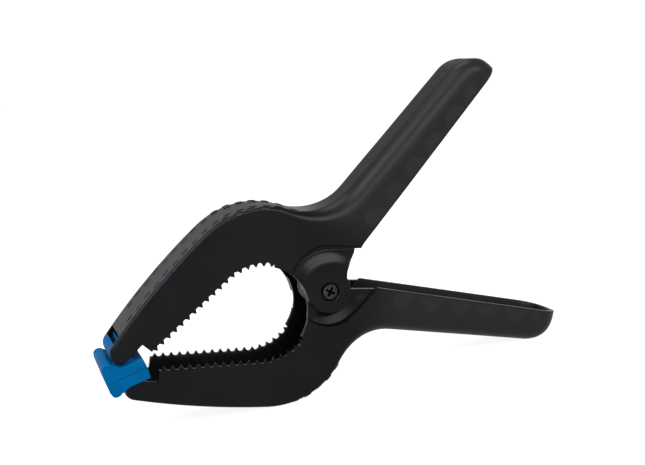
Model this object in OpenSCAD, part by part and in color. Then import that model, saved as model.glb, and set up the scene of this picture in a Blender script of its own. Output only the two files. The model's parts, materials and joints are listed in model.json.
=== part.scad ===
// Spring clamp: two moulded U-channel arms crossing at a screw pivot, a torsion
// spring between the handles and two swivelling gripping pads.
//
// Every outline is drawn in the mouth frame: u runs along the line where the jaws
// meet, towards the handles, and v is the distance from that line. The lower arm
// is the same outline mirrored. stand() then turns the clamp so that it rests on
// the lower arm's jaw and handle end, with Y along the hinge.

/* [Jaws] */
// Width over the side walls of both arms
arm_w = 21.4; // [20.6:0.1:22]
// Thickness of the side walls
wall_t = 1.9; // [1.6:0.1:2.2]
// Thickness of the curved backs of the arms
back_t = 2; // [1.6:0.1:2.4]
// Radius of the rounded jaw tip
tip_r = 3.4; // [3:0.1:3.6]
// Radius of the round back of the mouth, measured to the tooth tips
mouth_r = 16.4; // [15.5:0.1:17]
// Spacing of the teeth
tooth_pitch = 3; // [2.8:0.05:3.1]
// Height of the teeth
tooth_h = 1.4; // [0.8:0.1:1.8]
// Number of teeth on the straight stretch of each wall
straight_teeth = 13; // [8:1:13]
// Number of teeth on the round stretch of each wall
round_teeth = 5; // [2:1:5]

/* [Upper arm] */
// Radius of the hump over the upper jaw
upper_hump_r = 30.8; // [29.5:0.1:31.5]
// Radius of the long, slightly bowed stretch from the upper hump to the jaw tip
upper_bow_r = 240; // [220:5:300]
// Radius of the hollow between the upper jaw and handle
upper_waist_r = 22.5; // [21:0.5:24]
// Slope of the upper handle's back from the mouth line
upper_slope = 27.4; // [27:0.1:28]
// Length of the straight back of the upper handle
upper_handle_l = 56.6; // [51:0.1:60]

/* [Lower arm] */
// Radius of the hump under the lower jaw
lower_hump_r = 29.5; // [28.5:0.1:30.5]
// Radius of the long, slightly bowed stretch from the lower hump to the jaw tip
lower_bow_r = 285; // [240:5:340]
// Radius of the hollow between the lower jaw and handle
lower_waist_r = 20; // [18.5:0.5:21]
// Slope of the lower handle's back from the mouth line
lower_slope = 28.2; // [27.6:0.1:28.6]
// Length of the straight back of the lower handle
lower_handle_l = 55.6; // [50:0.1:59]

/* [Handle ends] */
// Slope of the upper handle's open edge from the mouth line
upper_rim_slope = 30.3; // [29.9:0.1:31.2]
// Slope of the lower handle's open edge from the mouth line
lower_rim_slope = 31.1; // [30.5:0.1:31.5]
// Radius of the handle end, seen from the side
end_r = 12.5; // [11.8:0.1:13]
// Radius of the handle end, seen from above
end_plan_r = 15; // [13:0.5:20]
// Radius of the hanging hole near the end of the upper handle
hang_hole_r = 1.3; // [1:0.05:2]

/* [Pivot] */
// Radius of the round ears at the pivot
ear_r = 7.8; // [7.2:0.1:8.4]
// Distance from the middle of the clamp to the outside of the upper ears
ear_out = 12.3; // [12.1:0.1:13]
// Distance from the middle of the clamp to the inside of the lower ears
ear_in = 7.9; // [7.6:0.1:8.1]
// Gap between the upper and lower ears
ear_gap = 0.15; // [0.1:0.05:0.25]
// Radius of the sleeve that the lower arm turns on
sleeve_r = 3; // [2.6:0.1:3.2]
// Radial clearance between the sleeve and the lower ears
sleeve_fit = 0.05; // [0.02:0.01:0.1]
// Radius of the screw's thread
screw_r = 1.5; // [1.2:0.1:1.6]
// Radius of the screw's head
head_r = 2.6; // [2.2:0.1:2.8]
// Radius of the round recess for the screw's head
head_recess_r = 3.3; // [3:0.1:3.6]
// Depth of the recesses for the head and the nut
recess_depth = 1.5; // [1:0.1:1.6]
// Width of the nut across its flats
nut_flats = 5.5; // [5:0.1:6]

/* [Spring] */
// Radius of the spring's wire
wire_r = 1.1; // [0.8:0.05:1.2]
// Radius of the coil, to the middle of the wire
coil_r = 6; // [5.5:0.1:6.2]
// Number of turns
turns = 6; // [3:1:6]
// How far along the handle's back the legs reach
leg_reach = 32; // [20:1:44]

/* [Pads] */
// Width of the gripping pads
pad_w = 24.6; // [24:0.1:25]
// Height of the upper pad's base above its gripping face
upper_base_h = 3.5; // [3.1:0.1:3.7]
// Height of the upper pad's front lip above its gripping face
upper_lip_h = 6.9; // [6:0.1:7.2]
// Height of the lower pad's base above its gripping face
lower_base_h = 3.6; // [3.1:0.1:3.7]
// Height of the lower pad's front lip above its gripping face
lower_lip_h = 5.2; // [4.9:0.1:6]
// How far a pad reaches in front of its swivel
pad_front = 8.1; // [7.6:0.1:8.6]
// How far a pad reaches behind its swivel
pad_rear = 6.6; // [5.5:0.1:6.8]
// Radius of the cross bar that a pad clips onto
bar_r = 1.7; // [1.4:0.05:1.8]
// Outer radius of a pad's clip
clip_r = 3.6; // [3.3:0.05:3.7]
// Gap between the closed pads
pad_gap = 0.16; // [0.1:0.02:0.4]

/* [Hidden] */
$fn = 64;

// The pivot and the plane where the pads meet lie a little below the mouth line.
pivot = [1.4, -2.1];
pad_seam = -0.5;

// An arm's back is a chain of tangent circles and a straight handle. Each arm is
// [hump centre, hump radius, angle where the bow begins, bow radius,
//  waist radius, handle slope, height of the handle's back at u = 35, handle length,
//  slope of the handle's open edge]
UPPER = [[-19.8, 5.7], upper_hump_r, 112.5, upper_bow_r, upper_waist_r, upper_slope, 34.3,
    upper_handle_l, upper_rim_slope];
LOWER = [[-21.9, 5.5], lower_hump_r, 113.8, lower_bow_r, lower_waist_r, lower_slope, 35.2,
    lower_handle_l, lower_rim_slope];
tip_u = -73.8;

// Inner edge of the jaw: finger, step, teeth and the round back of the mouth
finger_slope = 26.6;
step_top = [-65.8, 7.2];
step_foot = [-63.8, 3.5];
first_tooth = [-61.76, 3.04];
tooth_slope = 21;
tooth_half_w = 1;
mouth_c = [-23.2, 0];
tooth_turn = 9.6;
last_straight = first_tooth + polar((straight_teeth - 1) * tooth_pitch, tooth_slope);
round_start = 107.3;

// Open edge of the handle
rim_start = [19.2, 8.9];
back_end_u = -72.05;

// Ears
lobe_zone_upper = 15;
lobe_zone_lower = 12.3;
zone_lap = 1.2;
ramp_r = 9.5;
wall_out = arm_w / 2;
wall_in = wall_out - wall_t;
upper_ear_in = ear_out - 2.45;
lower_ear_out = upper_ear_in - ear_gap;
screw_hole_r = screw_r + 0.1;
nut_t = recess_depth;
nut_pocket = 0.05;

// Pads
bar_fit = 0.05;
finger_fit = 0.3;
side_fit = 0.15;
clip_half_w = wall_in - 0.4;
clip_thin_r = 3.05;
lip_r = 1.9;

// The lower arm's jaw hump and handle end touch the ground together.
rest_line = handle_end_c(LOWER) - LOWER[0];
stand_tilt = atan2(rest_line[1], rest_line[0]) - asin((LOWER[1] - end_r) / norm(rest_line));
stand_rise = LOWER[1] + LOWER[0][1] * cos(stand_tilt) - LOWER[0][0] * sin(stand_tilt);
front_x = (tip_u - pad_front) * cos(stand_tilt)
    - (pad_seam + pad_gap / 2 + upper_lip_h - lip_r - 0.4) * sin(stand_tilt);
rear_x = rim_end(LOWER) * polar(1, stand_tilt);
stand_shift = -(front_x + rear_x) / 2;

function polar(r, t) = [r * cos(t), r * sin(t)];

function arc(c, r, t0, t1, n = 16) = [for (i = [0:n]) c + polar(r, t0 + (t1 - t0) * i / n)];

function bow_c(arm) = arm[0] - polar(arm[3] - arm[1], arm[2]);

// Angle on the bow where the tip begins
function tip_angle(arm) = acos((tip_u - bow_c(arm)[0]) / (arm[3] - tip_r));

function tip_c(arm) = bow_c(arm) + polar(arm[3] - tip_r, tip_angle(arm));

// The waist circle touches both the hump and the handle's back
function waist_c(arm) =
    let (along = polar(1, arm[5]))
    let (offset = [35, arm[6]] + polar(arm[4], 90 + arm[5]) - arm[0])
    let (near = offset * along)
    offset + arm[0] - along * (near
        - sqrt(near * near - offset * offset + pow(arm[1] + arm[4], 2)));

// Angle on the hump where the waist begins
function hump_rear(arm) =
    let (offset = waist_c(arm) - arm[0])
    atan2(offset[1], offset[0]);

function handle_start(arm) = waist_c(arm) + polar(arm[4], 270 + arm[5]);

function handle_end_c(arm) = handle_start(arm) + polar(arm[7], arm[5]) - polar(end_r, 90 + arm[5]);

// Angle at which the open edge meets the round handle end
function rim_hit(arm) =
    let (rise = cross(polar(1, arm[8]), handle_end_c(arm) - rim_start))
    arm[8] - asin(rise / end_r);

function rim_end(arm) = handle_end_c(arm) + polar(end_r, rim_hit(arm));

// The back from the handle to the jaw tip, moved inwards by inset
function back_arcs(arm, inset) = concat(
    arc(waist_c(arm), arm[4] + inset, 270 + arm[5], 180 + hump_rear(arm), 18),
    arc(arm[0], arm[1] - inset, hump_rear(arm), arm[2], 20),
    arc(bow_c(arm), arm[3] - inset, arm[2], tip_angle(arm), 10)
);

// One tooth pointing along -inward, as three points around its tip
function tooth(tip, inward) =
    let (side = [inward[1], -inward[0]])
    [tip + tooth_h * inward - tooth_half_w * side, tip, tip + tooth_h * inward + tooth_half_w * side];

function straight_row() = [for (i = [0:straight_teeth - 1])
    each tooth(first_tooth + polar(i * tooth_pitch, tooth_slope), polar(1, 90 + tooth_slope))];

function round_row() = [for (i = [1:round_teeth])
    let (t = round_start - i * tooth_turn)
    each tooth(mouth_c + polar(mouth_r, t), polar(1, t))];

// Inner edge of the jaw from the tip to the back of the mouth, down to height v_end
function jaw_edge(arm, v_end) = concat(
    arc(tip_c(arm), tip_r, tip_angle(arm), 270 + finger_slope, 20),
    [step_top, step_foot],
    straight_row(),
    round_row(),
    arc(mouth_c, mouth_r, round_start - (round_teeth + 1) * tooth_turn, asin(v_end / mouth_r), 12)
);

// The whole arm from the side: its back, its jaw edge, its ear and its open edge
function side_outline(arm, ear, v_end) = concat(
    arc(handle_end_c(arm), end_r, rim_hit(arm), 90 + arm[5], 16),
    back_arcs(arm, 0),
    jaw_edge(arm, v_end),
    ear,
    [rim_start]
);

upper_ear_edge = concat(
    arc(pivot, ear_r, 205, 375, 28),
    [[9.9, 2.2], [11.8, 4.1], [15.5, 7.5]]
);
lower_ear_edge = concat(
    arc([pivot[0], -pivot[1]], ear_r, 225, 380, 28),
    [[14, 6.9]]
);
upper_outline = side_outline(UPPER, upper_ear_edge, -2.4);
lower_outline = side_outline(LOWER, lower_ear_edge, -3.5);

// A flat shape in the u-v plane, w thick across the clamp and centred on y
module prism(points, w, y = 0) {
    translate([0, y, 0])
        rotate([90, 0, 0])
            linear_extrude(w, center = true)
                polygon(points);
}

// A cylinder along the hinge direction
module rod(at, r, w, y = 0, r2 = -1) {
    translate([at[0], y, at[1]])
        rotate([90, 0, 0])
            cylinder(r1 = r, r2 = r2 < 0 ? r : r2, h = w, center = true, $fn = 96);
}

// Turns the mouth frame into the standing frame
module stand() {
    translate([stand_shift, 0, stand_rise])
        rotate([0, -stand_tilt, 0])
            children();
}

module lower_side() {
    mirror([0, 0, 1])
        children();
}

// Everything beyond the rounded handle end, seen from above
module end_trim(arm, inset) {
    reach = rim_end(arm) * polar(1, arm[8]) - inset;
    plan_r = end_plan_r - inset;
    rotate([0, -arm[8], 0])
        translate([reach - plan_r, 0, 0])
            difference() {
                translate([0, -20, -40])
                    cube([60, 40, 80]);
                cylinder(r = plan_r, h = 100, center = true, $fn = 96);
            }
}

// The channel inside an arm, open on the mouth and handle sides
module channel(arm) {
    inner = back_arcs(arm, back_t);
    end = arc(handle_end_c(arm), end_r - back_t, 30 + arm[5], 90 + arm[5], 10);
    last = inner[len(inner) - 1];
    difference() {
        prism(concat(end, inner, [[back_end_u, last[1]], [back_end_u, -30], [120, -30]]),
            2 * wall_in);
        end_trim(arm, back_t);
    }
}

// The arm without its ears
module arm_shell(arm, outline) {
    difference() {
        prism(outline, arm_w);
        channel(arm);
        // window between the walls in front of the back's end
        translate([back_end_u - 20, -wall_in, -10])
            cube([20, 2 * wall_in, 40]);
        end_trim(arm, 0);
    }
    rod(tip_c(arm), bar_r, 2 * wall_in + 1);
}

// A zone around the pivot, with a straight side towards the handle's open edge
module ear_zone(centre, r, w, y) {
    rod(centre, r, w, y);
    translate([centre[0], y, centre[1]])
        rotate([0, 24, 0])
            translate([0, -w / 2, 0])
                cube([26, w, r]);
}

module upper_ear(side) {
    ear_t = ear_out - upper_ear_in;
    ear_mid = (ear_out + upper_ear_in) / 2;
    lap_t = wall_out - upper_ear_in;
    ramp_t = ear_out - wall_out;
    intersection() {
        prism(upper_outline, ear_t, side * ear_mid);
        union() {
            ear_zone(pivot, lobe_zone_upper + zone_lap, lap_t, side * (upper_ear_in + lap_t / 2));
            rod(pivot, side > 0 ? ramp_r : lobe_zone_upper, ramp_t, side * (wall_out + ramp_t / 2),
                side > 0 ? lobe_zone_upper : ramp_r);
        }
    }
}

module lower_ear(side) {
    ear_t = lower_ear_out - ear_in;
    intersection() {
        prism(lower_outline, ear_t, side * (lower_ear_out + ear_in) / 2);
        ear_zone([pivot[0], -pivot[1]], lobe_zone_lower + zone_lap, ear_t,
            side * (lower_ear_out + ear_in) / 2);
    }
}

module upper_arm() {
    hole_angle = 90 + upper_slope - 31;
    hole_at = handle_end_c(UPPER) + polar(end_r, hole_angle);
    color("#2b2b2e")
        stand()
            difference() {
                union() {
                    difference() {
                        arm_shell(UPPER, upper_outline);
                        ear_zone(pivot, lobe_zone_upper, 2 * ear_out, 0);
                    }
                    upper_ear(-1);
                    upper_ear(1);
                }
                rod(pivot, screw_hole_r, 2 * ear_out + 2);
                rod(pivot, head_recess_r, 2 * recess_depth, -ear_out);
                translate([pivot[0], ear_out, pivot[1]])
                    rotate([90, 0, 0])
                        cylinder(d = (nut_flats + 2 * nut_pocket) / cos(30), h = 2 * recess_depth,
                            center = true, $fn = 6);
                translate([hole_at[0], 0, hole_at[1]])
                    rotate([0, 90 - hole_angle, 0])
                        cylinder(r = hang_hole_r, h = 8, center = true);
            }
}

module lower_arm() {
    color("#2b2b2e")
        stand()
            lower_side()
                difference() {
                    union() {
                        difference() {
                            arm_shell(LOWER, lower_outline);
                            ear_zone([pivot[0], -pivot[1]], lobe_zone_lower, 2 * ear_out, 0);
                        }
                        lower_ear(-1);
                        lower_ear(1);
                    }
                    rod([pivot[0], -pivot[1]], sleeve_r + sleeve_fit, 2 * ear_out);
                }
}

// A pad hanging from a swivel at the origin, with its gripping face at -face
module pad(face, base_h, lip_h) {
    top = base_h - face;
    lip_c = [0.1 + lip_r - pad_front, lip_h - face - lip_r];
    corner = 0.5;
    slot_w = wall_t + 2 * side_fit + 0.1;
    difference() {
        union() {
            prism(concat(
                [[corner - pad_front, -face], [pad_rear - corner, -face], [pad_rear, corner - face]],
                [[pad_rear - 0.3, top], [-0.6, top], [-2.4, top + 0.3], [-3.7, top + 1]],
                arc(lip_c, lip_r, 35, 145, 10),
                [[-pad_front, lip_c[1] - 0.4], [-pad_front, corner - face]]
            ), pad_w);
            // neck between the clip and the base
            translate([-3, -clip_half_w, 1 - face])
                cube([6, 2 * clip_half_w, face - 3]);
            rod([0, 0], clip_thin_r, 2 * clip_half_w);
            // the clip is thicker where it is clear of the arm's back
            difference() {
                rod([0, 0], clip_r, 2 * clip_half_w);
                prism([[0, 0], polar(9, -40), polar(9, 10), polar(9, 61)], pad_w);
            }
        }
        rod([0, 0], bar_r + bar_fit, pad_w + 2);
        // mouth of the clip
        prism([[0, 0], polar(9, 69), polar(9, 102)], pad_w + 2);
        for (side = [-1, 1]) {
            rod([0, 0], tip_r + finger_fit, slot_w, side * (wall_out - wall_t / 2));
            translate([0, side * (wall_out - wall_t / 2) - slot_w / 2, -tip_r - finger_fit])
                cube([10, slot_w, 10]);
        }
    }
}

module upper_pad() {
    at = tip_c(UPPER);
    color("#0d6ea8")
        stand()
            translate([at[0], 0, at[1]])
                pad(at[1] - pad_seam - pad_gap / 2, upper_base_h, upper_lip_h);
}

module lower_pad() {
    at = tip_c(LOWER);
    color("#0d6ea8")
        stand()
            lower_side()
                translate([at[0], 0, at[1]])
                    pad(at[1] + pad_seam - pad_gap / 2, lower_base_h, lower_lip_h);
}

// A leg from the coil's side to the inside of a handle's back
module leg(arm, centre, y) {
    gap = 0.15;
    foot = handle_start(arm) + polar(leg_reach, arm[5])
        - polar(back_t + wire_r + gap, 90 + arm[5]);
    reach = norm(foot - centre);
    heading = atan2(foot[1] - centre[1], foot[0] - centre[0]) - asin(coil_r / reach);
    start = centre + polar(coil_r, heading + 90);
    translate([start[0], y, start[1]])
        rotate([0, 90 - heading, 0])
            cylinder(r = wire_r - 0.1, h = reach * cos(asin(coil_r / reach)));
}

module torsion_spring() {
    pitch = 2 * wire_r - 0.05;
    half = pitch * (turns - 1) / 2;
    color("#3a3a3c")
        stand() {
            translate([pivot[0], 0, pivot[1]])
                rotate([90, 0, 0])
                    rotate_extrude($fn = 96)
                        for (i = [0:turns - 1])
                            translate([coil_r, i * pitch - half])
                                circle(r = wire_r, $fn = 16);
            leg(UPPER, pivot, -half);
            lower_side()
                leg(LOWER, [pivot[0], -pivot[1]], half);
        }
}

module pivot_sleeve() {
    color("silver")
        stand()
            difference() {
                rod(pivot, sleeve_r, 2 * upper_ear_in);
                rod(pivot, screw_hole_r, 2 * upper_ear_in + 2);
            }
}

module pivot_screw() {
    head_y = ear_out - recess_depth;
    shank = ear_out + head_y - 0.2;
    color("#1c1c1e")
        stand()
            difference() {
                union() {
                    rod(pivot, head_r, recess_depth, -head_y - recess_depth / 2);
                    rod(pivot, screw_r, shank, -head_y + shank / 2);
                }
                for (turn = [45, 135])
                    translate([pivot[0], -ear_out, pivot[1]])
                        rotate([0, turn, 0])
                            cube([3.6, 2.2, 0.95], center = true);
            }
}

module pivot_nut() {
    color("silver")
        stand()
            difference() {
                translate([pivot[0], ear_out - nut_t / 2, pivot[1]])
                    rotate([90, 0, 0])
                        cylinder(d = nut_flats / cos(30), h = nut_t, center = true, $fn = 6);
                rod(pivot, screw_r + 0.02, 4, ear_out - nut_t / 2);
            }
}

upper_arm();
lower_arm();
upper_pad();
lower_pad();
torsion_spring();
pivot_sleeve();
pivot_screw();
pivot_nut();
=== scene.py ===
"""Spring clamp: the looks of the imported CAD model, in metres and in its frame.

The arms and the spring are built again here with their real edges. The pads are the CAD's
own, joined to a flat lip top and a web, with softened edges. Screw, nut and sleeve keep
their CAD shapes. Every outline is drawn in the mouth frame, in millimetres: u runs along
the line where the jaws meet, towards the handles, v is the height over it and y runs along
the hinge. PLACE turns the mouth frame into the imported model's frame. The lower arm is drawn
as an upper one and mirrored by FLIP.
"""

import json
import math

import bmesh
import bpy
import numpy as np
from mathutils import Matrix, Vector


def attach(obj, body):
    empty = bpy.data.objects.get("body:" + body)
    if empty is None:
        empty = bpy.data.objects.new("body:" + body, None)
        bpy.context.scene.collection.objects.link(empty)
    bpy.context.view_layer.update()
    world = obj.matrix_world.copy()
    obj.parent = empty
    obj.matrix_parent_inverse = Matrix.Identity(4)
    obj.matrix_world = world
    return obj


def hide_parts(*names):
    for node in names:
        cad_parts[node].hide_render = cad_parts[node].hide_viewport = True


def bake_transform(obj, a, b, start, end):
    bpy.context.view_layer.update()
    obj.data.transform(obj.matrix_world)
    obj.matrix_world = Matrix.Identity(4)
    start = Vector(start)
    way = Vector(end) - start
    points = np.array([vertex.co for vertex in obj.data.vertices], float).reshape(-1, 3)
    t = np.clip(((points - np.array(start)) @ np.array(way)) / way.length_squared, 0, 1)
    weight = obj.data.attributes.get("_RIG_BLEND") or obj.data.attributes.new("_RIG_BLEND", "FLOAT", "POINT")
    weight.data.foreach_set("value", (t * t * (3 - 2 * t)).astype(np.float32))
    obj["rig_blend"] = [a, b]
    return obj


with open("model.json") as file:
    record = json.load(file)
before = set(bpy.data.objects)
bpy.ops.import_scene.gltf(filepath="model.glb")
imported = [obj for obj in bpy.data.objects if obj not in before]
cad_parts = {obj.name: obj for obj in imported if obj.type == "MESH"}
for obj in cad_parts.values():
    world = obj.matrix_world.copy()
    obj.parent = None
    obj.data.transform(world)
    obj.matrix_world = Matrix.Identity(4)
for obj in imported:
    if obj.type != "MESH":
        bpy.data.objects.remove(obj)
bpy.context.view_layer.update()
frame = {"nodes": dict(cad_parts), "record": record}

# ---------------------------------------------------------------- sizes, in millimetres

PIVOT = np.array([1.4, -2.1])  # the hinge, in the mouth frame
TIP_U, TIP_R = -73.8, 3.4  # the rounded jaw tip, which is also the pad's swivel
TIP_FRONT = 210  # angle of the foremost point of the tip

JAW_HALF_W, HANDLE_HALF_W = 10.6, 11.0
WALL_T, BACK_T = 1.9, 2.0
JAW_FILLET, HANDLE_FILLET = 1.3, 6.2
EDGE = 0.25  # small rounding along the walls' open edges
END_R = 12.5

MOUTH_C, MOUTH_R = np.array([-23.2, 0.0]), 16.4
FINGER_SLOPE = 26.6
STEP_TOP, STEP_FOOT = np.array([-65.8, 7.2]), np.array([-63.8, 3.5])
FIRST_TOOTH, TOOTH_SLOPE = np.array([-61.76, 3.04]), 21.0
TOOTH_PITCH, TOOTH_H, TOOTH_HALF = 3.0, 1.4, 0.95
STRAIGHT_TEETH, ROUND_TEETH, TOOTH_TURN, ROUND_START = 13, 5, 9.6, 107.3
BACK_END_U = -72.05  # the back stops here, and the jaw tip is open between its walls

RIM_X = 19.2  # u at which a handle's open edge starts
ZONE_GAP = 1.2  # and how far before it the ear's zone ends

# where along the back the sections join it
TIP_LEAD, RIM_LEAD = 0.8, 0.6
CORNER_TURN = 50  # direction from the mouth's centre
SIDE_SHARE = 0.72  # of the way from the zone's corner to the open edge's start

END_PLAN_L = 9.0  # length of the handle end's rounding, seen from above
END_FILLET, END_FILLET_L = 2.0, 16.0  # the back's rounding grows towards the handle's end

DASH_PITCH, DASH_L, DASH_W, DASH_H = 4.85, 3.1, 1.7, 0.38
DASH_FIRST, DASH_LAST = 16.5, 92.0  # length along the back
DASH_ROW_Y, DASH_SHIFT = 6.2, 0.6  # the two long rows, one of them shifted by part of a pitch
SIDE_ROW_Y, SIDE_ROW_FIRST, SIDE_ROW_SHIFT = 9.2, 62, 0.3  # the short rows near the edges
DASH_STAGGER, DASH_SINK = 0.55, 0.06
WIRE_R, COIL_R, COIL_HALF, COIL_TURNS, LEG_REACH = 1.1, 6.0, 5.375, 5, 32.0
WIRE_GAP, LEG_GAP = 0.04, 0.15  # taken off the wire so that its turns stay apart; under a leg
WIRE_SIDES = 16
HANG_HOLE_R, HANG_HOLE_TURN = 1.3, 31.0
HOLE_CHAMFER, HOLE_SIDES = 0.35, 32
HOLE_PATCH_H, HOLE_PATCH_R = 0.8, 2.9  # the faces round the hole that its rims take the place of
BAR_R, BAR_HALF = 1.7, 9.2  # the cross bar that carries a pad

UPPER = {
    "hump": np.array([-19.8, 5.7]), "hump_r": 30.8, "bow_start": 112.5, "bow_r": 240.0,
    "waist_r": 22.5, "slope": 27.4, "rise": 34.3, "handle_l": 56.6,
    "rim": 30.3, "rim_v": 8.45,
}
LOWER = {
    "hump": np.array([-21.9, 5.5]), "hump_r": 29.5, "bow_start": 113.8, "bow_r": 285.0,
    "waist_r": 20.0, "slope": 28.2, "rise": 35.2, "handle_l": 55.6,
    "rim": 31.1, "rim_v": 8.85,
}

EAR_R = 7.8
EAR_OUT, UPPER_EAR_IN = 12.3, 9.85
LOWER_EAR_OUT, LOWER_EAR_IN = 9.7, 7.9
UPPER_ZONE, LOWER_ZONE = 15.0, 12.3
UPPER_ZONE_Y = 10.35  # y of the upper ears' faces at the edge of their zone
ZONE_SIDE = 22.0  # slope of the zones' straight side, towards the handle's open edge
UPPER_GROOVE, LOWER_GROOVE = 1.35, 1.0  # distance of the groove from the zone's edge
SCREW_HOLE_R, SLEEVE_HOLE_R = 1.6, 3.05
RECESS = (3.4, EAR_OUT - 1.5)  # radius, and y of its floor
RECESS_CHAMFER = 0.15
LOWER_EAR_FROM = 225  # degrees round the pivot at which the lower ear's round edge starts
CLEAR_FROM, CLEAR_TO = (26, 42), (132, 150)  # degrees in which its ramp comes in, and goes out
RAMP_R, RAMP_RISE = (7.7, 8.4, 12.2), (0, -0.65, 0.8)  # its groove and ramp, by radius


# ---------------------------------------------------------------- outlines

def polar(r, degrees):
    a = math.radians(degrees)
    return r * np.array([math.cos(a), math.sin(a)])


def unit(v):
    return v / np.linalg.norm(v)


def arc(centre, r, a0, a1, step=0.5):
    """Points along an arc, about step apart, both ends included."""
    n = max(2, int(abs(math.radians(a1 - a0)) * r / step) + 1)
    return [centre + polar(r, a) for a in np.linspace(a0, a1, n + 1)]


def bow_centre(arm):
    return arm["hump"] - polar(arm["bow_r"] - arm["hump_r"], arm["bow_start"])


def tip_angle(arm):
    return math.degrees(math.acos((TIP_U - bow_centre(arm)[0]) / (arm["bow_r"] - TIP_R)))


def tip_centre(arm):
    return bow_centre(arm) + polar(arm["bow_r"] - TIP_R, tip_angle(arm))


def waist_centre(arm):
    along = polar(1, arm["slope"])
    start = np.array([35, arm["rise"]]) + polar(arm["waist_r"], 90 + arm["slope"])
    offset = start - arm["hump"]
    near = offset @ along
    reach = arm["hump_r"] + arm["waist_r"]
    return start - along * (near - math.sqrt(near**2 - offset @ offset + reach**2))


def hump_rear(arm):
    offset = waist_centre(arm) - arm["hump"]
    return math.degrees(math.atan2(offset[1], offset[0]))


def handle_start(arm):
    return waist_centre(arm) + polar(arm["waist_r"], 270 + arm["slope"])


def end_centre(arm):
    handle_end = handle_start(arm) + polar(arm["handle_l"], arm["slope"])
    return handle_end - polar(END_R, 90 + arm["slope"])


def rim_start(arm):
    return np.array([RIM_X, arm["rim_v"]])


def rim_hit(arm):
    """Angle on the handle end's circle where the open edge meets it."""
    along = polar(1, arm["rim"])
    offset = end_centre(arm) - rim_start(arm)
    across = along[0] * offset[1] - along[1] * offset[0]
    return arm["rim"] - math.degrees(math.asin(across / END_R))


class Path:
    """A polyline with a normal at each point, read by its length."""

    def __init__(self):
        self.points, self.normals, self.marks = [], [], {}

    def arc(self, centre, r, a0, a1, side=1, name=None):
        for a in np.linspace(a0, a1, max(4, int(abs(a1 - a0) * r / 12)) + 1):
            self.points.append(centre + polar(r, a))
            self.normals.append(polar(side, a))
        self.mark(name)

    def line(self, end, normal, name=None):
        self.points.append(end)
        self.normals.append(normal)
        self.mark(name)

    def mark(self, name):
        if name:
            self.marks[name] = len(self.points) - 1

    def done(self):
        p = np.array(self.points)
        self.p, self.n = p, np.array(self.normals)
        self.s = np.concatenate([[0], np.cumsum(np.linalg.norm(np.diff(p, axis=0), axis=1))])
        self.length = self.s[-1]
        return self

    def at(self, s):
        p = np.array([np.interp(s, self.s, self.p[:, i]) for i in (0, 1)])
        n = np.array([np.interp(s, self.s, self.n[:, i]) for i in (0, 1)])
        return p, unit(n)

    def along(self, name):
        return self.s[self.marks[name]]

    def hit(self, origin, direction):
        """Length at which a ray from origin meets the path."""
        side = np.array([-direction[1], direction[0]])
        d = (self.p - origin) @ side
        ahead = (self.p - origin) @ direction
        for i in range(len(d) - 1):
            if d[i] * d[i + 1] <= 0 and d[i] != d[i + 1] and ahead[i] > 0:
                f = d[i] / (d[i] - d[i + 1])
                return self.s[i] + f * (self.s[i + 1] - self.s[i])
        raise ValueError("the ray misses the path")


def back_path(arm):
    """The arm's outer back, from the foremost point of the tip to the handle's open edge."""
    path = Path()
    path.arc(tip_centre(arm), TIP_R, TIP_FRONT, tip_angle(arm), name="tip")
    path.arc(bow_centre(arm), arm["bow_r"], tip_angle(arm), arm["bow_start"])
    path.arc(arm["hump"], arm["hump_r"], arm["bow_start"], hump_rear(arm))
    path.arc(waist_centre(arm), arm["waist_r"], 180 + hump_rear(arm), 270 + arm["slope"], side=-1)
    up = polar(1, 90 + arm["slope"])
    start, along = handle_start(arm), polar(1, arm["slope"])
    for d in np.linspace(0, arm["handle_l"], 40)[1:]:
        path.line(start + d * along, up, "handle")
    path.arc(end_centre(arm), END_R, 90 + arm["slope"], rim_hit(arm))
    return path.done()


def tooth(tip, inward):
    side = np.array([inward[1], -inward[0]])
    base = tip + TOOTH_H * inward
    return [base - TOOTH_HALF * side, tip, base + TOOTH_HALF * side]


def teeth():
    """The toothed edge, from the first tooth to the last."""
    points = []
    for i in range(STRAIGHT_TEETH):
        tip = FIRST_TOOTH + polar(i * TOOTH_PITCH, TOOTH_SLOPE)
        points += tooth(tip, polar(1, 90 + TOOTH_SLOPE))
    for i in range(1, ROUND_TEETH + 1):
        t = ROUND_START - i * TOOTH_TURN
        points += tooth(MOUTH_C + polar(MOUTH_R, t), polar(1, t))
    return points


def circles_meet(c0, r0, c1, r1):
    """The upper crossing of two circles."""
    d = c1 - c0
    a = (r0**2 - r1**2 + d @ d) / (2 * np.linalg.norm(d))
    side = unit(np.array([-d[1], d[0]]))
    p = c0 + unit(d) * a + side * math.sqrt(r0**2 - a * a)
    q = c0 + unit(d) * a - side * math.sqrt(r0**2 - a * a)
    return p if p[1] > q[1] else q


def angle_of(v):
    return math.degrees(math.atan2(v[1], v[0]))


def zone_side(pivot, zone_r):
    """Both ends of the straight side of an ear's zone."""
    start = pivot + polar(zone_r, 90 - ZONE_SIDE)
    drop = polar(1, -ZONE_SIDE)
    return start, start + drop * (RIM_X - ZONE_GAP - start[0]) / drop[0]


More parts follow.
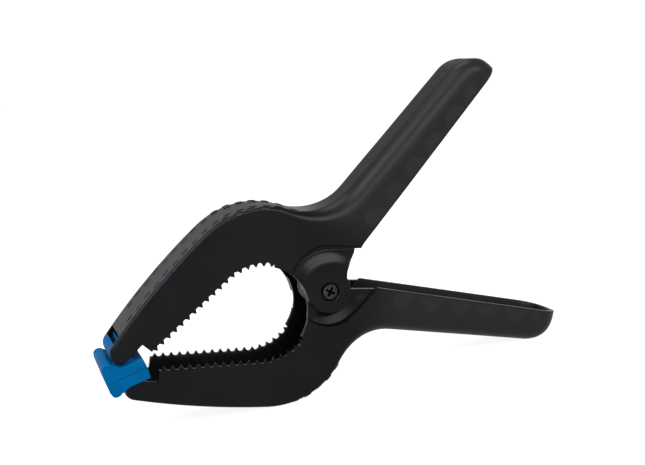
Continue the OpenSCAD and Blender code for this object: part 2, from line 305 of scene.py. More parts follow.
def stations(arm, pivot, zone_r):
    """One row for each section of the arm.

    Each holds a point on the open edge, the length along the back that it is joined to, and
    whether it is in the ear's zone.
    """
    back = back_path(arm)
    tip = tip_centre(arm)
    rows = []

    def add(points, s0, s1, zone=False):
        points = np.array(points)
        d = np.concatenate([[0], np.cumsum(np.linalg.norm(np.diff(points, axis=0), axis=1))])
        for p, f in zip(points, d / d[-1]):
            if not rows or np.linalg.norm(rows[-1][0] - p) > 1e-6:
                rows.append((p, s0 + f * (s1 - s0), zone))

    toothed = teeth()
    straight_end = 3 * STRAIGHT_TEETH
    lift = polar(1, 100 + TOOTH_SLOPE)
    s_tip = back.along("tip") + TIP_LEAD
    s_step = back.hit(STEP_TOP, lift)
    s_first = back.hit(toothed[0], polar(1, 90 + TOOTH_SLOPE))
    s_foot = s_step + 0.5 * (s_first - s_step)
    s_last = back.hit(toothed[straight_end - 1], polar(1, 90 + TOOTH_SLOPE))
    finger = tip + polar(TIP_R, 270 + FINGER_SLOPE)
    add(arc(tip, TIP_R, TIP_FRONT, 270 + FINGER_SLOPE, 0.35), 0, s_tip)
    add(np.linspace(finger, STEP_TOP, 12), s_tip, s_step)
    add(np.linspace(STEP_TOP, STEP_FOOT, 6), s_step, s_foot)
    add([STEP_FOOT, toothed[0]], s_foot, s_first)
    add(toothed[:straight_end], s_first, s_last)
    corner = circles_meet(MOUTH_C, MOUTH_R, pivot, zone_r)
    a_corner = angle_of(corner - MOUTH_C)
    s_teeth = back.hit(toothed[-1], unit(toothed[-1] - MOUTH_C))
    s_corner = back.hit(MOUTH_C, polar(1, CORNER_TURN))
    add(toothed[straight_end - 1:], s_last, s_teeth)
    a_teeth = angle_of(toothed[-1] - MOUTH_C)
    add([toothed[-1]] + arc(MOUTH_C, MOUTH_R, a_teeth - 1.5, a_corner, 0.8), s_teeth, s_corner)
    side_start, side_end = zone_side(pivot, zone_r)
    first = rim_start(arm)
    s_rim = back.hit(first, polar(1, 90 + arm["slope"]))
    s_side = s_corner + SIDE_SHARE * (s_rim - s_corner)
    add(arc(pivot, zone_r, angle_of(corner - pivot), 90 - ZONE_SIDE, 0.8), s_corner, s_side, True)
    add(np.linspace(side_start, side_end, 12), s_side, s_rim - RIM_LEAD, True)
    add([side_end, first], s_rim - RIM_LEAD, s_rim)
    rim_end = end_centre(arm) + polar(END_R, rim_hit(arm))
    turn = back.along("handle")
    rim = polar(1, arm["rim"])
    knee = first + rim * ((back.at(turn)[0] - first) @ rim)
    add(np.linspace(first, knee, 56), s_rim, turn)
    add(np.linspace(knee, rim_end, 28), turn, back.length)
    return back, rows


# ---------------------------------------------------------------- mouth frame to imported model

joints = {j["name"]: j for j in frame["record"]["behaviour"]["joints"]}


def place_from_joints():
    """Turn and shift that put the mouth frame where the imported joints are."""
    hinge = 1000 * np.array(joints["jaw_hinge"]["pos_m"])[[0, 2]]
    swivel = 1000 * np.array(joints["upper_pad_swivel"]["pos_m"])[[0, 2]]
    before, after = tip_centre(UPPER) - PIVOT, swivel - hinge
    turn = math.atan2(after[1], after[0]) - math.atan2(before[1], before[0])
    c, s = math.cos(turn), math.sin(turn)
    moved = np.array([PIVOT[0] * c - PIVOT[1] * s, PIVOT[0] * s + PIVOT[1] * c])
    return turn, hinge - moved


TURN, SHIFT = place_from_joints()
PLACE = (
    Matrix.Translation((SHIFT[0] / 1000, 0, SHIFT[1] / 1000))
    @ Matrix.Rotation(-TURN, 4, "Y")
    @ Matrix.Scale(0.001, 4)
)
FLIP = Matrix.Scale(-1, 4, (0, 0, 1))
SHARP_FROM = 35  # degrees between two faces


def mesh_object(name, bm, body, matrix=PLACE):
    """An object from a bmesh in the mouth frame, riding on a body."""
    bmesh.ops.remove_doubles(bm, verts=bm.verts, dist=1e-5)
    bmesh.ops.dissolve_degenerate(bm, edges=bm.edges, dist=1e-4)
    bmesh.ops.transform(bm, matrix=matrix, verts=bm.verts)
    if matrix.determinant() < 0:
        bmesh.ops.reverse_faces(bm, faces=bm.faces)
    for f in bm.faces:
        f.smooth = True
    for e in bm.edges:
        if e.is_manifold and e.calc_face_angle() > math.radians(SHARP_FROM):
            e.smooth = False
    mesh = bpy.data.meshes.new(name)
    bm.to_mesh(mesh)
    bm.free()
    obj = bpy.data.objects.new(name, mesh)
    bpy.context.scene.collection.objects.link(obj)
    if body:
        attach(obj, body)
    return obj


# ---------------------------------------------------------------- arms

def ease(x, a, b):
    t = min(1, max(0, (x - a) / (b - a)))
    return t * t * (3 - 2 * t)


def half_width(u):
    return JAW_HALF_W + (HANDLE_HALF_W - JAW_HALF_W) * ease(u, 5, 40)


def back_fillet(back, s):
    """Radius between the back and the walls."""
    u = back.at(s)[0][0]
    grown = END_FILLET * ease(s, back.along("handle") - END_FILLET_L, back.along("handle"))
    return JAW_FILLET + (HANDLE_FILLET - JAW_FILLET) * ease(u, -12, 22) + grown


def fillet_drop(back, s):
    """How far the rounding reaches down the wall: on the handles it is a tall ellipse."""
    return back_fillet(back, s) * (1 + 0.2 * ease(back.at(s)[0][0], -14, 12))


def on_back(back, s, y):
    """A point of the back's outer surface, and its normal in the section's plane."""
    p, n = back.at(s)
    r = back_fillet(back, s)
    over = abs(y) - (half_width(p[0]) - r)
    if over > 0:
        p = p - n * fillet_drop(back, s) * (1 - math.sqrt(max(0, 1 - (over / r) ** 2)))
    return p, n


def dashes(bm, back, y_rows):
    """Short raised bars on the back of the jaw: (y, first length, last length, shift) per row."""
    for y_row, first, last, shift in y_rows:
        count = int((last - first - shift * DASH_PITCH) / DASH_PITCH) + 1
        for i in range(count):
            s_mid = first + (i + shift) * DASH_PITCH
            outward = DASH_STAGGER if i % 2 else -DASH_STAGGER
            y_mid = y_row + outward * (1 if y_row > 0 else -1)
            grid = []
            for a in np.linspace(-1, 1, 13):
                row = []
                for b in np.linspace(-1, 1, 9):
                    y = y_mid + b * DASH_W / 2
                    p, n = on_back(back, s_mid + a * DASH_L / 2, y)
                    dome = (1 - abs(a) ** 6) * (1 - abs(b) ** 4)
                    q = p + n * (DASH_H * dome**0.6 - DASH_SINK)
                    row.append(bm.verts.new((q[0], y, q[1])))
                grid.append(row)
            for r0, r1 in zip(grid, grid[1:]):
                for j in range(len(r0) - 1):
                    bm.faces.new((r0[j], r1[j], r1[j + 1], r0[j + 1]))


def in_patch(face, level, axis):
    offset = face.calc_center_median() - level
    height = offset @ axis
    return abs(height) < HOLE_PATCH_H and (offset - axis * height).length < HOLE_PATCH_R


def hang_hole(bm, arm):
    """Opens the back near the handle's end: the old faces go and a round hole's walls come in.

    The new points take the marks of the old border, so that the material runs through.
    """
    turn = 90 + arm["slope"] - HANG_HOLE_TURN
    up, along = polar(1, turn), polar(1, turn - 90)
    axis = Vector((up[0], 0, up[1]))
    side = Vector((along[0], 0, along[1]))
    top = end_centre(arm) + polar(END_R, turn)
    centre = Vector((top[0], 0, top[1]))
    layers = bm.verts.layers.float.values()
    rims = []
    for depth, r in ((0, HANG_HOLE_R + HOLE_CHAMFER), (-BACK_T, HANG_HOLE_R + 0.05)):
        level = centre + axis * depth
        near = [f for f in bm.faces if in_patch(f, level, axis)]
        edges = {e for f in near for e in f.edges}
        border = [e for e in edges if sum(g in near for g in e.link_faces) == 1]
        marks = [border[0].verts[0][layer] for layer in layers]
        bmesh.ops.delete(bm, geom=near, context="FACES")
        ring = [
            bm.verts.new(level + side * (r * math.cos(t)) + Vector((0, 1, 0)) * (r * math.sin(t)))
            for t in np.linspace(0, 2 * math.pi, HOLE_SIDES + 1)[:-1]
        ]
        for v in ring:
            for layer, mark in zip(layers, marks):
                v[layer] = mark
        loop = [bm.edges.new((a, b)) for a, b in zip(ring, ring[1:] + ring[:1])]
        bmesh.ops.bridge_loops(bm, edges=border + loop)
        rims.append(ring)
    collar = [
        bm.verts.new(v.co - axis * HOLE_CHAMFER - (v.co - centre).normalized() * HOLE_CHAMFER)
        for v in rims[0]
    ]
    for v, source in zip(collar, rims[0]):
        for layer in layers:
            v[layer] = source[layer]
    for a, b in ((rims[0], collar), (collar, rims[1])):
        for k in range(len(a)):
            j = (k + 1) % len(a)
            bm.faces.new((a[k], a[j], b[j], b[k]))
    bmesh.ops.recalc_face_normals(bm, faces=bm.faces)


FLAT_STEPS = (0, 0.35, 0.7, 1)  # points of a section across half the back's flat part
FILLET_STEPS = 10  # and round its fillet


def arm_shell(arm, pivot, zone_r, zone_y, groove):
    """Walls and back of one arm, drawn as an upper arm, as a bmesh in the mouth frame."""
    back, rows = stations(arm, pivot, zone_r)
    rim = polar(1, arm["rim"])
    s_end = (end_centre(arm) + polar(END_R, rim_hit(arm))) @ rim
    s_full = s_end - END_PLAN_L

    def plan(p, half, inset):
        """Half width of the rounded handle end, seen from above."""
        s = min(p @ rim, s_end - inset)
        if s <= s_full:
            return half
        f = (s - s_full) / (s_end - inset - s_full)
        return half * (1 - f**2.5) ** (1 / 2.5)

    def section(edge, s, zone, window):
        a, n = back.at(s)
        half = half_width(a[0])
        depth = np.linalg.norm(edge - a)
        # the fillet and the edge's rounding shrink where the section is shallow, at the jaw's tip
        fillet = min(back_fillet(back, s), 0.45 * depth)
        drop = min(fillet_drop(back, s), 0.55 * depth)
        wall_in = half - WALL_T
        e = EDGE * min(1, depth / 3)
        ring = []  # (u-v point, y, inner?)
        edge_y = zone_y if zone else half

        def opened(y):
            return max(y, wall_in) if window else y

        for f in FLAT_STEPS:
            ring.append((a, opened(f * (half - fillet)), 0))
        for k in range(1, FILLET_STEPS + 1):
            phi = math.radians(90 * k / FILLET_STEPS)
            y = half - fillet * (1 - math.sin(phi))
            ring.append((a - n * drop * (1 - math.cos(phi)), opened(y), 0))
        start = a - n * drop
        reach = np.linalg.norm(edge - start)
        down = (edge - start) / max(reach, 1e-9)
        for f in (0.25, 0.5, 0.75):
            ring.append((start + down * max(0, reach - 2.2) * f, half, 0))
        near = min(1, reach / 3)
        dip, lip = (0.3, 0.06) if zone else (0, 0)  # how far the groove and its edge sink in
        for gap, y in (
            (groove + 0.25, half), (groove, half - dip), (groove - 0.25, half - lip), (e, edge_y),
        ):
            ring.append((edge - down * gap * near, y, 0))
        ring.append((edge, edge_y - e, 0))
        # open edge, pulled back at the handle's end so that the end wall keeps its thickness
        inner_edge = edge
        s_edge = edge @ rim
        if s_edge > s_full:
            f = (s_edge - s_full) / END_PLAN_L
            inner_edge = edge - rim * WALL_T * f
        ring.append((inner_edge, wall_in + e, 1))
        inner_top = a - n * min(BACK_T + 0.9, 0.48 * depth)
        if window:
            for f in (0.06, 0.35, 0.7):
                ring.append((inner_edge + (a - inner_edge) * f * 0.9, wall_in, 1))
            for f in (0.75, 0.8, 0.85, 0.9, 0.95, 1):
                ring.append((inner_edge + (a - inner_edge) * f, wall_in, 1))
            return ring
        for f in (0.06, 0.4, 0.8):
            ring.append((inner_edge + (inner_top - inner_edge) * f, wall_in, 1))
        corner = min(0.9, 0.1 * depth)
        ceiling = a - n * min(BACK_T, 0.42 * depth)
        for k in range(3):
            phi = math.radians(45 * k)
            y = wall_in - corner * (1 - math.cos(phi))
            ring.append((ceiling - n * corner * (1 - math.sin(phi)), y, 1))
        for f in (0.7, 0.35, 0):
            ring.append((ceiling, f * (wall_in - corner), 1))
        return ring

    bm = bmesh.new()
    along = bm.verts.layers.float.new("along")
    across = bm.verts.layers.float.new("across")
    tread_and_painted_light = bm.verts.layers.float.new("tread_and_painted_light")
    wall = bm.verts.layers.float.new("wall")
    rings = []
    for i, (edge, s, zone) in enumerate(rows):
        a, _ = back.at(s)
        window = a[0] < BACK_END_U
        opens = i > 0 and back.at(rows[i - 1][1])[0][0] < BACK_END_U <= a[0]
        half = half_width(a[0])
        # this mask marks the jaw's back, whose coarser grain is real and whose lighter colour is painted
        # light from above
        treaded = 1 - ease(s, DASH_LAST - 6, DASH_LAST + 3)
        for v in [True, False] if opens else [window]:
            ring = section(edge, s, zone, v)
            sides = []
            for side in (1, -1):
                verts = []
                for p, y, inner in ring:
                    full = half - WALL_T if inner else half
                    scale = plan(p, full, WALL_T if inner else 0) / full
                    v_new = bm.verts.new((p[0], side * y * scale, p[1]))
                    v_new[along] = s
                    on_wall = not inner and len(verts) >= len(FLAT_STEPS) + FILLET_STEPS
                    v_new[across] = np.linalg.norm(p - edge)
                    v_new[wall] = 1 if on_wall else 0
                    v_new[tread_and_painted_light] = 0 if inner or len(verts) > len(FLAT_STEPS) else treaded
                    verts.append(v_new)
                sides.append(verts)
            rings.append((sides, v))
    for (r0, w0), (r1, w1) in zip(rings, rings[1:]):
        for k, side in enumerate((1, -1)):
            a, b = r0[k], r1[k]
            for j in range(len(a) - 1):
                quad = (a[j], a[j + 1], b[j + 1], b[j])
                bm.faces.new(quad if side < 0 else quad[::-1])
            if w0 and not w1:
                tri = (a[-1], b[-1], b[0])
                bm.faces.new(tri if side < 0 else tri[::-1])
    return bm


def ray_reach(outline, origin, degrees):
    """Distance from origin to a closed outline along a direction."""
    d = polar(1, degrees)
    best = None
    for p, q in zip(outline, outline[1:] + outline[:1]):
        e = q - p
        den = d[0] * e[1] - d[1] * e[0]
        if abs(den) < 1e-12:
            continue
        w = p - origin
        t = (w[0] * e[1] - w[1] * e[0]) / den
        f = (w[0] * d[1] - w[1] * d[0]) / den
        if t > 0 and -1e-9 <= f <= 1 + 1e-9 and (best is None or t < best):
            best = t
    return best


def ear_outline(pivot, zone_r, edge_side, ear_from, ear_to, v_end):
    """Closed outline of an ear, as part of an upper arm, out to its zone."""
    corner = circles_meet(MOUTH_C, MOUTH_R, pivot, zone_r)
    low = math.degrees(math.asin(v_end / MOUTH_R))
    side_start, side_end = zone_side(pivot, zone_r)
    points = arc(MOUTH_C, MOUTH_R, angle_of(corner - MOUTH_C), low)
    points += arc(pivot, EAR_R, ear_from, ear_to)
    points += edge_side
    points += [side_end, side_start]
    points += arc(pivot, zone_r, 90 - ZONE_SIDE, angle_of(corner - pivot))[1:-1]
    return points


def ear_plate(pivot, outline, face, inner_y, hole_r, recess, side):
    """One ear as a polar grid round the pivot. face(r, degrees) is the outer surface's y."""
    bm = bmesh.new()
    columns = 180
    edge = 0.35
    fractions = [0.1, 0.22, 0.34, 0.44, 0.52, 0.6, 0.67, 0.74, 0.8, 0.86, 0.92, 0.96]
    rings = []
    for k in range(columns):
        degrees = 360 * k / columns
        reach = ray_reach(outline, pivot, degrees)
        middle_y = face(0, degrees)
        if recess:
            r_recess, floor_y = recess
            start = r_recess + RECESS_CHAMFER
            column = [(hole_r, inner_y), (hole_r, floor_y), (r_recess - 0.05, floor_y)]
            column += [(r_recess, floor_y + 0.05), (r_recess, middle_y - RECESS_CHAMFER)]
            column += [(start, middle_y)]
        else:
            start = hole_r
            column = [(hole_r, inner_y), (hole_r, middle_y)]
        for f in fractions:
            r = start + (reach - edge - start) * f
            column.append((r, face(r, degrees)))
        column.append((reach - edge, face(reach - edge, degrees)))
        column.append((reach - edge * 0.3, face(reach - edge, degrees) - edge * 0.3))
        column.append((reach, face(reach - edge, degrees) - edge))
        column.append((reach, inner_y + 0.2))
        column.append((reach - 0.2, inner_y))
        for f in (0.66, 0.33):
            column.append((hole_r + (reach - 0.2 - hole_r) * f, inner_y))
        verts = []
        for r, y in column:
            p = pivot + polar(r, degrees)
            verts.append(bm.verts.new((p[0], side * y, p[1])))
        rings.append(verts)
    for a, b in zip(rings, rings[1:] + rings[:1]):
        n = len(a)
        for j in range(n):
            quad = (a[j], a[(j + 1) % n], b[(j + 1) % n], b[j])
            bm.faces.new(quad if side > 0 else quad[::-1])
    return bm


def merge(target, source):
    """Adds one bmesh to another."""
    mesh = bpy.data.meshes.new("part")
    source.to_mesh(mesh)
    source.free()
    target.from_mesh(mesh)
    bpy.data.meshes.remove(mesh)


def tube(bm, p0, p1, r):
    """A plain round bar between two points."""
    axis = Vector(p1) - Vector(p0)
    turn = axis.to_track_quat("Z", "Y").to_matrix().to_4x4()
    m = Matrix.Translation((Vector(p0) + Vector(p1)) / 2) @ turn
    bmesh.ops.create_cone(
        bm, cap_ends=True, segments=24, radius1=r, radius2=r, depth=axis.length, matrix=m
    )


def upper_face(r, degrees):
    """Flat round the screw, and falling to the wall. It is the same in every direction."""
    return EAR_OUT - (EAR_OUT - UPPER_ZONE_Y) * ease(r, 9.0, UPPER_ZONE)


def lower_face(r, degrees):
    """Flat under the other arm's ear, with a groove and a ramp where that ear leaves it clear."""
    clear = 0
    if degrees < LOWER_EAR_FROM:
        clear = ease(degrees, *CLEAR_FROM) * (1 - ease(degrees, *CLEAR_TO))
    return LOWER_EAR_OUT + clear * float(np.interp(r, RAMP_R, RAMP_RISE))


upper_edge_side = [np.array(p) for p in ([9.9, 2.2], [11.8, 4.1], [15.5, 7.5])]
lower_pivot = PIVOT * [1, -1]
lower_edge_side = [np.array([14.0, 6.9])]


def add_bar_and_dashes(bm, arm):
    tip = tip_centre(arm)
    tube(bm, (tip[0], -BAR_HALF, tip[1]), (tip[0], BAR_HALF, tip[1]), BAR_R)
    rows = [(y, DASH_FIRST, DASH_LAST, k) for y, k in ((-DASH_ROW_Y, 0), (DASH_ROW_Y, DASH_SHIFT))]
    rows += [(SIDE_ROW_Y * k, SIDE_ROW_FIRST, DASH_LAST - 6, SIDE_ROW_SHIFT) for k in (-1, 1)]
    dashes(bm, back_path(arm), rows)


def build_upper_arm():
    bm = arm_shell(UPPER, PIVOT, UPPER_ZONE, UPPER_ZONE_Y, UPPER_GROOVE)
    bmesh.ops.remove_doubles(bm, verts=bm.verts, dist=1e-4)
    hang_hole(bm, UPPER)
    outline = ear_outline(PIVOT, UPPER_ZONE, upper_edge_side, 205, 375, -2.4)
    for side in (-1, 1):
        plate = ear_plate(PIVOT, outline, upper_face, UPPER_EAR_IN, SCREW_HOLE_R, RECESS, side)
        merge(bm, plate)
    add_bar_and_dashes(bm, UPPER)
    obj = mesh_object("upper_arm_body", bm, "upper_arm")
    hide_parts("upper_arm")
    return obj


def build_lower_arm():
    bm = arm_shell(LOWER, lower_pivot, LOWER_ZONE, LOWER_EAR_OUT, LOWER_GROOVE)
    outline = ear_outline(lower_pivot, LOWER_ZONE, lower_edge_side, LOWER_EAR_FROM, 380, -3.5)
    for side in (-1, 1):
        plate = ear_plate(
            lower_pivot, outline, lower_face, LOWER_EAR_IN, SLEEVE_HOLE_R, None, side
        )
        merge(bm, plate)
    add_bar_and_dashes(bm, LOWER)
    obj = mesh_object("lower_arm_body", bm, "lower_arm", PLACE @ FLIP)
    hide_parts("lower_arm")
    return obj


# ---------------------------------------------------------------- spring, pads and pivot

def wire(bm, points, r):
    """A round wire through the points, with rounded ends."""
    points = [Vector(p) for p in points]
    tangents = [
        (points[min(i + 1, len(points) - 1)] - points[max(i - 1, 0)]).normalized()
        for i in range(len(points))
    ]
    side = Vector((0, 1, 0))
    rings = []

    def ring(centre, tangent, radius):
        nonlocal side
        side = (side - tangent * side.dot(tangent)).normalized()
        other = tangent.cross(side)
        turns = [2 * math.pi * k / WIRE_SIDES for k in range(WIRE_SIDES)]
        rings.append([
            bm.verts.new(centre + side * (radius * math.cos(t)) + other * (radius * math.sin(t)))
            for t in turns
        ])

    chamfer = ((0.0, 0.6), (0.12, 0.85), (0.35, 1.0))
    for back_off, f in chamfer:
        ring(points[0] + tangents[0] * back_off * r, tangents[0], f * r)
    for p, t in zip(points[1:-1], tangents[1:-1]):
        ring(p, t, r)
    for back_off, f in chamfer[::-1]:
        ring(points[-1] - tangents[-1] * back_off * r, tangents[-1], f * r)
    for a, b in zip(rings, rings[1:]):
        for k in range(WIRE_SIDES):
            j = (k + 1) % WIRE_SIDES
            bm.faces.new((a[k], a[j], b[j], b[k]))
    bm.faces.new(rings[0][::-1])
    bm.faces.new(rings[-1])


def leg_foot(arm):
    drop = BACK_T + WIRE_R + LEG_GAP
    return handle_start(arm) + polar(LEG_REACH, arm["slope"]) - polar(drop, 90 + arm["slope"])


def leg_heading(arm, centre):
    offset = leg_foot(arm) - centre
    return angle_of(offset) - math.degrees(math.asin(COIL_R / np.linalg.norm(offset)))


def build_spring():
    """One wire: upper leg, coil round the sleeve, lower leg."""
    up = leg_heading(UPPER, PIVOT)
    down = leg_heading(LOWER, lower_pivot)
    start, end = up + 90, -(down + 90) + COIL_TURNS * 360
    points = []
    foot, root = leg_foot(UPPER), PIVOT + polar(COIL_R, start)
    points += [(*(foot + (root - foot) * f), -COIL_HALF) for f in np.linspace(0, 1, 20)[:-1]]
    for f in np.linspace(0, 1, 200):
        p = PIVOT + polar(COIL_R, start + (end - start) * f)
        points.append((*p, -COIL_HALF + 2 * COIL_HALF * f))
    foot, root = leg_foot(LOWER) * [1, -1], PIVOT + polar(COIL_R, end)
    points += [(*(root + (foot - root) * f), COIL_HALF) for f in np.linspace(0, 1, 20)[1:]]
    bm = bmesh.new()
    wire(bm, [(u, y, v) for u, v, y in points], WIRE_R - WIRE_GAP)
    obj = mesh_object("spring_wire", bm, None)
    hinge = joints["jaw_hinge"]["pos_m"]
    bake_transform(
        obj, "upper_arm", "lower_arm",
        (hinge[0], -0.0035, hinge[2]), (hinge[0], 0.0035, hinge[2]),
    )
    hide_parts("torsion_spring")
    return obj


PAD_VOXEL, PAD_ROUNDS = 0.00019, 5  # metres, and passes of smoothing


def soft_pad(node, name, body, bm, nudge):
    """A CAD pad joined to its saddle in bm, with its edges rounded as the mould leaves them."""
    bm.from_mesh(frame["nodes"][node].data)
    bmesh.ops.translate(bm, vec=nudge, verts=bm.verts)
    mesh = bpy.data.meshes.new(name)
    bm.to_mesh(mesh)
    bm.free()
    obj = bpy.data.objects.new(name, mesh)
    bpy.context.scene.collection.objects.link(obj)
    remesh = obj.modifiers.new("remesh", "REMESH")
    remesh.mode = "VOXEL"
    remesh.voxel_size = PAD_VOXEL
    remesh.use_smooth_shade = True
    smooth = obj.modifiers.new("smooth", "SMOOTH")
    smooth.factor = 0.5
    smooth.iterations = PAD_ROUNDS
    depsgraph = bpy.context.evaluated_depsgraph_get()
    shape = bpy.data.meshes.new_from_object(obj.evaluated_get(depsgraph))
    obj.modifiers.clear()
    obj.data = shape
    shape.name = name
    bpy.data.meshes.remove(mesh)
    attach(obj, body)
    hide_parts(node)
    return obj


def pad_saddle(swivel, face, lip, flip):
    """The flat top of a pad's front lip, and its web to the clip, clear of the jaw's fingers.

    Outlines are drawn from the swivel. face is how far below it the gripping face lies, and
    lip is the lip's height over that face.
    """
    bm = bmesh.new()
    top, foot = lip - face, 1.2 - face
    flat = [
        (-6.2, foot), (-6.2, top - 0.02), (-5.0, top - 0.02),
        (-4.4, top - 0.4), (-4.2, top - 1.1), (-4.2, foot),
    ]
    web = [
        (-5.2, foot), (-5.2, top - 0.45), (-4.2, top - 0.7),
        (-3.3, top - 1.5), (-2.2, top - 2.6), (-2.2, foot),
    ]
    spans = ((flat, -12.15, 12.15), (web, -12.2, -10.95), (web, -8.3, 8.3), (web, 10.95, 12.2))
    for outline, y0, y1 in spans:
        rings = [
            [bm.verts.new((swivel[0] + u, y, swivel[1] + v)) for u, v in outline]
            for y in (y0, y1)
        ]
        bm.faces.new(rings[0])
        bm.faces.new(rings[1][::-1])
        for k in range(len(outline)):
            j = (k + 1) % len(outline)
            bm.faces.new((rings[0][k], rings[1][k], rings[1][j], rings[0][j]))
    bmesh.ops.transform(bm, matrix=PLACE @ FLIP if flip else PLACE, verts=bm.verts)
    bmesh.ops.recalc_face_normals(bm, faces=bm.faces)
    return bm


def bevel_node(node, width):
    """Breaks the sharp edges of a CAD node that keeps its shape."""
    obj = frame["nodes"][node]
    bevel = obj.modifiers.new("edges", "BEVEL")
    bevel.width = width
    bevel.segments = 2
    bevel.limit_method = "ANGLE"
    bevel.angle_limit = math.radians(40)
    return obj


# ---------------------------------------------------------------- materials

class Nodes:
    """A material's node tree, with short calls."""

    def __init__(self, name):
        self.mat = bpy.data.materials.new(name)
        self.mat.use_nodes = True
        self.tree = self.mat.node_tree
        self.shader = self.tree.nodes["Principled BSDF"]

    def add(self, kind, settings=None, **inputs):
        node = self.tree.nodes.new(kind)
        for key, value in (settings or {}).items():
            setattr(node, key, value)
        for key, value in inputs.items():
            by_index = key[0] == "i" and key[1:].isdigit()
            socket = int(key[1:]) if by_index else key.replace("_", " ")
            self.put(node.inputs[socket], value)
        return node

    def put(self, socket, value):
        if isinstance(value, bpy.types.NodeSocket):
            self.tree.links.new(value, socket)
        else:
            socket.default_value = value

    def math(self, operation, a, b=0.0, c=0.0):
        return self.add("ShaderNodeMath", {"operation": operation}, i0=a, i1=b, i2=c).outputs[0]

    def ramp(self, value, low, high, to_low=0.0, to_high=1.0):
        node = self.add("ShaderNodeMapRange", {"interpolation_type": "SMOOTHSTEP"}, i0=value)
        node.inputs[1].default_value, node.inputs[2].default_value = low, high
        node.inputs[3].default_value, node.inputs[4].default_value = to_low, to_high
        return node.outputs[0]

    def mix(self, factor, a, b):
        node = self.add("ShaderNodeMix", {"data_type": "RGBA"})
        for socket, value in ((node.inputs[0], factor), (node.inputs[6], a), (node.inputs[7], b)):
            self.put(socket, value)
        return node.outputs[2]

    def noise(self, scale, detail=2.0, rough=0.5, stretch=None):
        at = self.add("ShaderNodeTexCoord").outputs["Object"]
        if stretch:
            at = self.add("ShaderNodeMapping", i0=at, Scale=stretch).outputs[0]
        node = self.add("ShaderNodeTexNoise", i0=at, Scale=scale, Detail=detail, Roughness=rough)
        return node.outputs["Fac"]

    def attribute(self, name):
        return self.add("ShaderNodeAttribute", {"attribute_name": name}).outputs["Fac"]

    def bump(self, height, strength, distance):
        return self.add("ShaderNodeBump", i0=strength, i1=distance, Height=height).outputs[0]

    def finish(self, **inputs):
        for key, value in inputs.items():
            self.put(self.shader.inputs[key.replace("_", " ")], value)
        return self.mat


HATCH_STEP, HATCH_SLOPE, HATCH_LINE = 5.8, 1.45, 0.85  # triangles, and the lines in them


def arm_plastic():
    """Black moulded plastic: fine grain, a coarser one on the jaw's back, hatched grips; the jaw's back is
    also painted lighter, as painted light from above.
    """
    n = Nodes("arm_plastic")
    cloud = n.noise(55, 3)
    grain = n.noise(5200, 2, 0.6)
    coarse = n.noise(1900, 2, 0.6)
    tread_and_painted_light = n.attribute("tread_and_painted_light")
    along, across = n.attribute("along"), n.attribute("across")
    # triangles along the handle's side, every other one hatched
    step = n.math("PINGPONG", along, HATCH_STEP)
    inside = n.math("LESS_THAN", across, n.math("MULTIPLY", step, HATCH_SLOPE))
    handle = n.ramp(along, 94, 112)
    grip = n.math("MULTIPLY", n.ramp(across, 0.9, 1.3), n.ramp(across, 11.6, 12.2, 1, 0))
    grip = n.math("MULTIPLY", grip, n.ramp(n.attribute("wall"), 0.9, 0.99))
    grip = n.math("MULTIPLY", grip, n.ramp(along, 106, 108))
    grip = n.math("MULTIPLY", grip, n.ramp(along, 168, 171, 1, 0))
    grip = n.math("MULTIPLY", grip, inside)
    diagonal = n.math("ADD", along, across)
    lines = n.math("SINE", n.math("MULTIPLY", diagonal, 2 * math.pi / HATCH_LINE))
    on_tread = n.math("MULTIPLY", coarse, tread_and_painted_light)
    height = n.math("ADD", n.math("MULTIPLY", grain, 0.35), n.math("MULTIPLY", on_tread, 1.1))
    height = n.math("ADD", height, n.math("MULTIPLY", n.math("MULTIPLY", lines, grip), 3.0))
    dark, light = (0.0018, 0.0019, 0.0025, 1), (0.0029, 0.0031, 0.0039, 1)
    color = n.mix(n.ramp(cloud, 0.35, 0.7), dark, light)
    color = n.mix(handle, color, (0.0068, 0.0071, 0.0073, 1))
    hatched = n.math("MULTIPLY", n.ramp(lines, -1, 1), grip)
    color = n.mix(hatched, color, (0.0103, 0.0103, 0.0112, 1))
    # the jaw's back painted lighter: painted light from above; its coarser grain and roughness are real
    color = n.mix(n.math("MULTIPLY", tread_and_painted_light, 0.9), color, (0.024, 0.0238, 0.027, 1))
    rough = n.math("ADD", n.ramp(cloud, 0.3, 0.75, 0.26, 0.34), n.math("MULTIPLY", tread_and_painted_light, 0.2))
    rough = n.math("ADD", rough, n.math("MULTIPLY", grip, 0.08))
    rough = n.math("ADD", rough, n.math("MULTIPLY", handle, 0.09))
    return n.finish(
        Base_Color=color, Roughness=rough, Specular_IOR_Level=0.075,
        Normal=n.bump(height, 0.16, 0.00006),
    )


def pad_plastic():
    """Blue soft plastic with a fine grain, painted paler on convex edges and high spots as a painted
    highlight.
    """
    n = Nodes("pad_plastic")
    cloud = n.noise(140, 3)
    grain = n.noise(3600, 3, 0.6)
    # convex edges and high spots painted paler: a painted highlight
    edge = n.ramp(n.add("ShaderNodeNewGeometry").outputs["Pointiness"], 0.52, 0.62)
    dark, light = (0.0003, 0.046, 0.13, 1), (0.0005, 0.056, 0.15, 1)
    color = n.mix(n.ramp(cloud, 0.3, 0.7), dark, light)
    color = n.mix(n.math("MULTIPLY", edge, 0.5), color, (0.004, 0.2, 0.46, 1))
    height = n.math("ADD", n.math("MULTIPLY", grain, 0.6), n.math("MULTIPLY", cloud, 0.4))
    return n.finish(
        Base_Color=color, Roughness=n.ramp(grain, 0.3, 0.7, 0.42, 0.56), IOR=1.08,
        Specular_Tint=(0.03, 0.6, 1, 1),
        Normal=n.bump(height, 0.35, 0.00008),
    )


